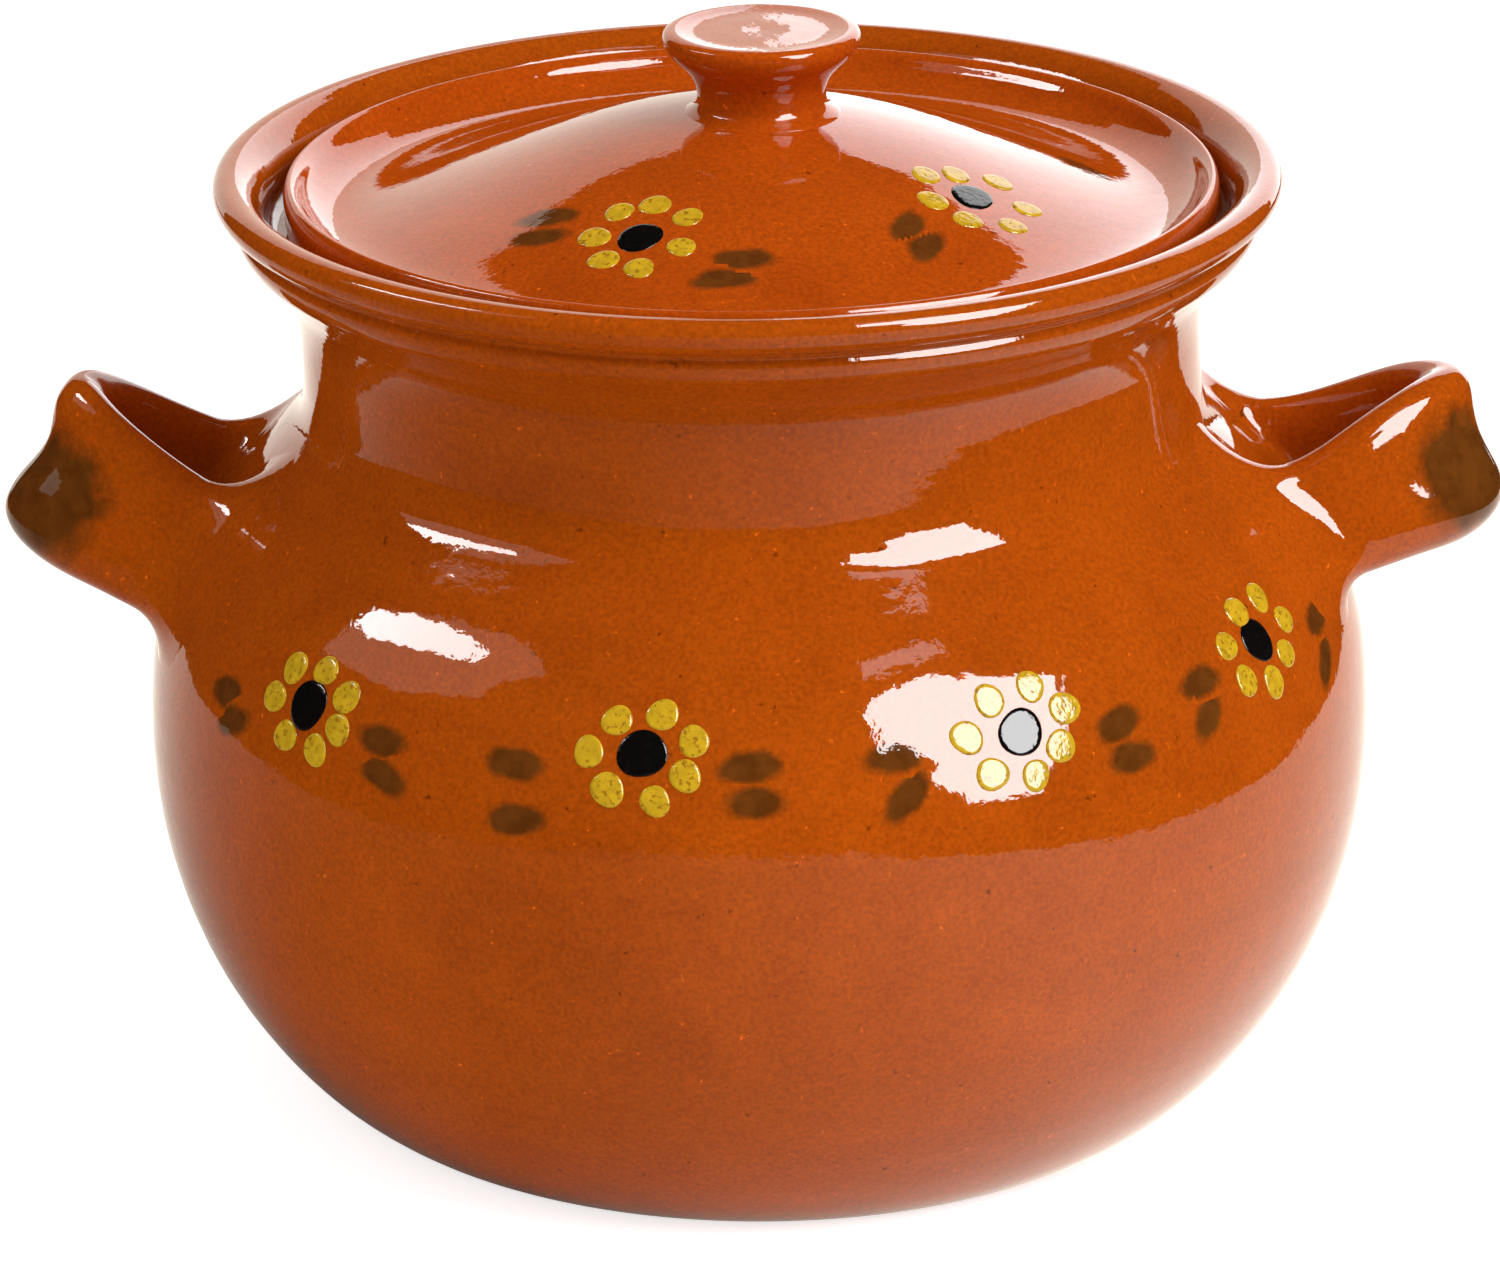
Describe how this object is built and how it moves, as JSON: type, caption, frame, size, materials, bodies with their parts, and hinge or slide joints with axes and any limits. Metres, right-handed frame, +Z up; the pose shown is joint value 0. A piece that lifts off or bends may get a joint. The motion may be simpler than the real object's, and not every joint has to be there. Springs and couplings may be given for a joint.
{
  "type": "lidded bean pot",
  "caption": "Round-bellied glazed earthenware bean pot with a flared rim, two strap ears and a lift-off domed lid with a knob.",
  "frame": {"origin": "centre of the flat foot, on the surface the pot stands on", "axes": "+Z up through the middle of the pot and its lid; +X towards the right ear, through both ears"},
  "size_m": [0.2832, 0.23, 0.2018],
  "materials": {
    "glazed_pot": "clear lead-style glossy glaze over red-brown earthenware",
    "glazed_ears": "the same glaze over strap ears, with an olive-brown brushed patch on each tip",
    "glazed_lid": "the same glaze, slightly redder on the lid",
    "yellow_slip": "raised drops of yellow slip under the glaze",
    "black_slip": "raised drops of black slip under the glaze"
  },
  "bodies": {
    "pot": {"pot_body": "glazed_pot", "left_ear": "glazed_ears", "right_ear": "glazed_ears", "belly_petals": "yellow_slip", "belly_centres": "black_slip"},
    "lid": {"lid_plate": "glazed_lid", "lid_knob": "glazed_lid", "lid_petals": "yellow_slip", "lid_centres": "black_slip"}
  },
  "joints": [
    {"name": "lid_lift", "type": "slide", "parent": "pot", "child": "lid", "axis": [0, 0, 1], "range_m": [0, 0.06]}
  ]
}
